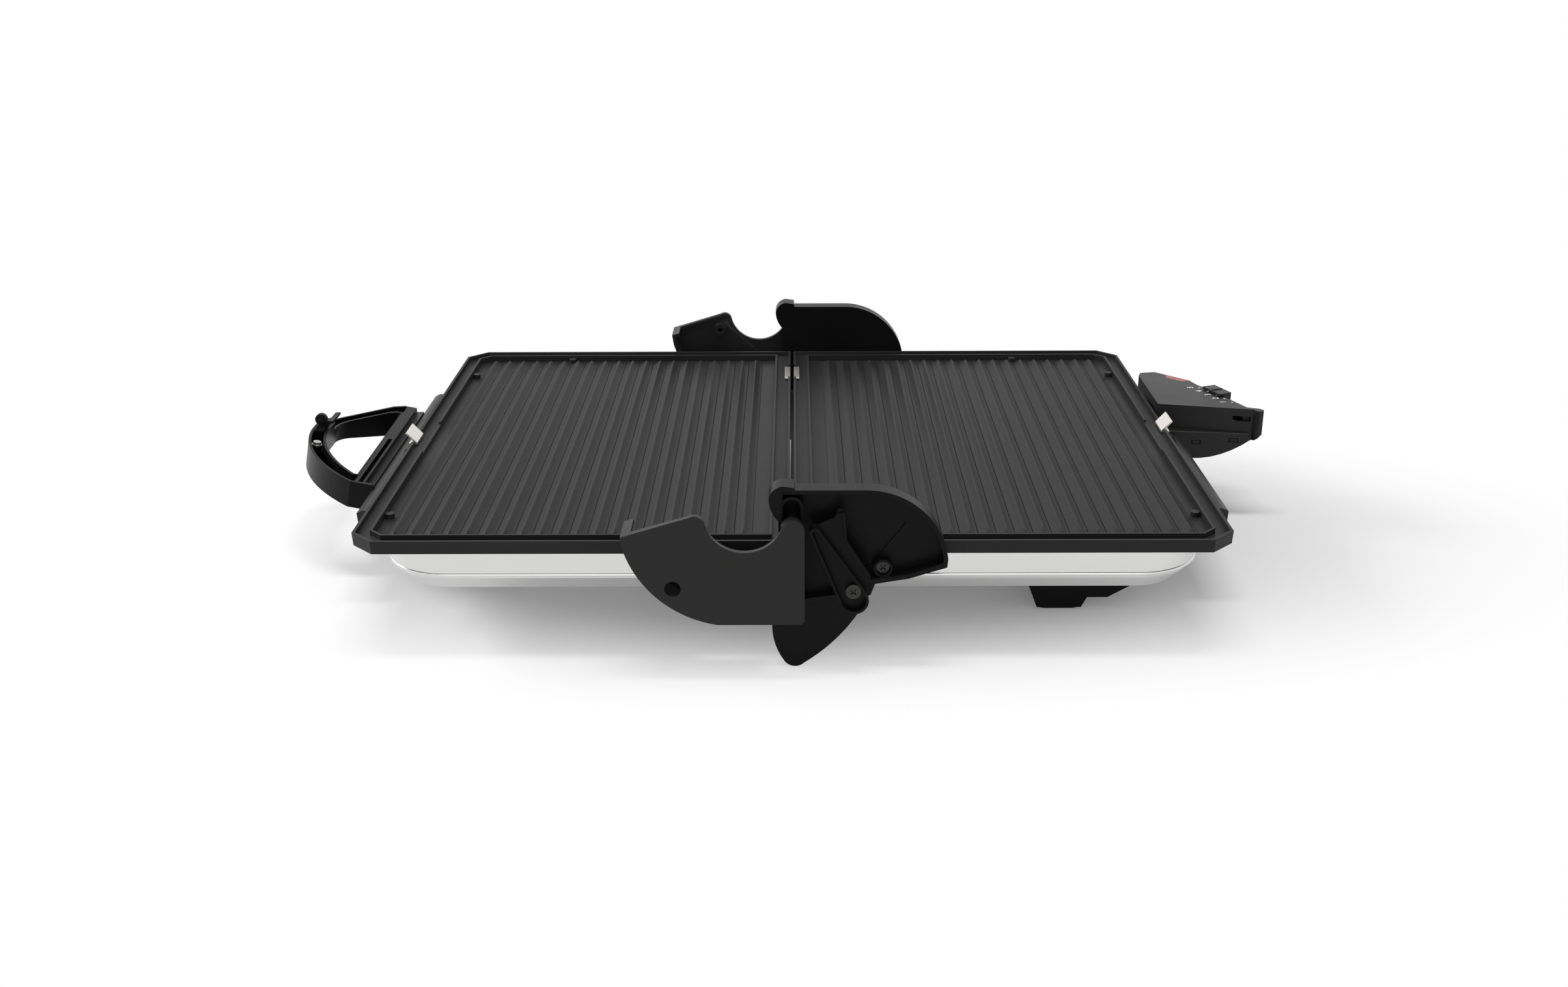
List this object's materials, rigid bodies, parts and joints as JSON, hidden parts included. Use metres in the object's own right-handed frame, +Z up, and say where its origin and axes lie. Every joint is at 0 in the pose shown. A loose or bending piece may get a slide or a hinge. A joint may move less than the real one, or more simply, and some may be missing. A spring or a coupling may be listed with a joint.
{
  "type": "contact grill",
  "caption": "Electric contact grill opened flat: two ribbed non-stick plates in steel covers, joined by a floating hinge, with a D handle, catch and temperature slider.",
  "frame": {"origin": "on the table, midway along the whole length with the lid opened flat, under the hinge line", "axes": "+X runs from the hinge over the base to its outer edge, +Y along the hinge line away from the pictured side, +Z up"},
  "size_m": [0.5733, 0.385, 0.0999],
  "materials": {
    "base_arm_front": "fine grain, heat resistant",
    "base_arm_rear": "fine grain, heat resistant",
    "base_arm_screws": "plated",
    "base_end_trim": "fine grain, heat resistant",
    "base_frame": "fine grain, heat resistant",
    "base_grill_plate": "cast, dark non-stick coating",
    "base_heating_element": "annealed tube",
    "base_hooks": "bare spring steel",
    "base_plate_clip": "bare spring steel",
    "base_reflector": "bright sheet",
    "base_steel_cover": "brushed",
    "control_housing_lower": "fine grain, heat resistant",
    "control_housing_screws": "plated",
    "control_housing_upper": "fine grain, heat resistant",
    "cord_gland": "matte",
    "foot_front": "fine grain, heat resistant",
    "foot_pads": "matte",
    "foot_rear": "fine grain, heat resistant",
    "foot_screws": "plated",
    "handle_catch": "fine grain, heat resistant",
    "handle_catch_screw": "plated",
    "handle_screws": "plated",
    "hinge_pin_front": "plated",
    "hinge_pin_rear": "plated",
    "hinge_release_lever": "fine grain, heat resistant",
    "indicator_lamp": "clear",
    "indicator_lens": "translucent red",
    "lever_screw": "plated",
    "lid_arm_front": "fine grain, heat resistant",
    "lid_arm_rear": "fine grain, heat resistant",
    "lid_arm_screws": "plated",
    "lid_end_trim": "fine grain, heat resistant",
    "lid_frame": "fine grain, heat resistant",
    "lid_grill_plate": "cast, dark non-stick coating",
    "lid_handle": "fine grain, heat resistant",
    "lid_heating_element": "annealed tube",
    "lid_hooks": "bare spring steel",
    "lid_plate_clip": "bare spring steel",
    "lid_reflector": "bright sheet",
    "lid_steel_cover": "brushed",
    "temperature_slider": "fine grain, heat resistant",
    "terminal_block": "ceramic white",
    "thermostat": "ceramic white"
  },
  "bodies": {
    "base": {"base_arm_front": "base_arm_front", "base_arm_rear": "base_arm_rear", "base_arm_screws": "base_arm_screws", "base_end_trim": "base_end_trim", "base_frame": "base_frame", "base_grill_plate": "base_grill_plate", "base_heating_element": "base_heating_element", "base_hooks": "base_hooks", "base_reflector": "base_reflector", "base_steel_cover": "base_steel_cover", "control_housing_lower": "control_housing_lower", "control_housing_screws": "control_housing_screws", "control_housing_upper": "control_housing_upper", "cord_gland": "cord_gland", "foot_front": "foot_front", "foot_pads": "foot_pads", "foot_rear": "foot_rear", "foot_screws": "foot_screws", "indicator_lamp": "indicator_lamp", "indicator_lens": "indicator_lens", "lever_screw": "lever_screw", "terminal_block": "terminal_block", "thermostat": "thermostat"},
    "hinge_pins": {"hinge_pin_front": "hinge_pin_front", "hinge_pin_rear": "hinge_pin_rear"},
    "lid": {"lid_grill_plate": "lid_grill_plate", "lid_heating_element": "lid_heating_element", "lid_reflector": "lid_reflector", "lid_frame": "lid_frame", "lid_steel_cover": "lid_steel_cover", "lid_end_trim": "lid_end_trim", "lid_hooks": "lid_hooks", "lid_arm_front": "lid_arm_front", "lid_arm_rear": "lid_arm_rear", "lid_arm_screws": "lid_arm_screws", "lid_handle": "lid_handle", "handle_screws": "handle_screws", "handle_catch_screw": "handle_catch_screw"},
    "release_lever": {"hinge_release_lever": "hinge_release_lever"},
    "slider": {"temperature_slider": "temperature_slider"},
    "catch": {"handle_catch": "handle_catch"},
    "base_clip": {"base_plate_clip": "base_plate_clip"},
    "lid_clip": {"lid_plate_clip": "lid_plate_clip"}
  },
  "joints": [
    {"name": "hinge_float", "type": "slide", "parent": "base", "child": "hinge_pins", "axis": [0, 0, 1], "range_m": [-0.023, 0.009]},
    {"name": "lid_hinge", "type": "hinge", "parent": "hinge_pins", "child": "lid", "pos_m": [0, 0, 0.079], "axis": [0, 1, 0], "range_deg": [0, 180]},
    {"name": "release_lever_pivot", "type": "hinge", "parent": "base", "child": "release_lever", "pos_m": [0.0302, -0.185, 0.0455], "axis": [0, 1, 0], "range_deg": [0, 25], "stiffness_Nm_per_rad": 0.05, "springref_deg": -11.46},
    {"name": "temperature_slide", "type": "slide", "parent": "base", "child": "slider", "axis": [0.3677, -0.9299, 0], "range_m": [-0.0075, 0.022]},
    {"name": "catch_slide", "type": "slide", "parent": "lid", "child": "catch", "axis": [0, 1, 0], "range_m": [0, 0.0034]},
    {"name": "base_clip_release", "type": "slide", "parent": "base", "child": "base_clip", "axis": [1, 0, 0], "range_m": [0, 0.004], "stiffness_N_per_m": 1500, "springref_m": -0.001},
    {"name": "lid_clip_release", "type": "slide", "parent": "lid", "child": "lid_clip", "axis": [-1, 0, 0], "range_m": [0, 0.004], "stiffness_N_per_m": 1500, "springref_m": -0.001}
  ]
}
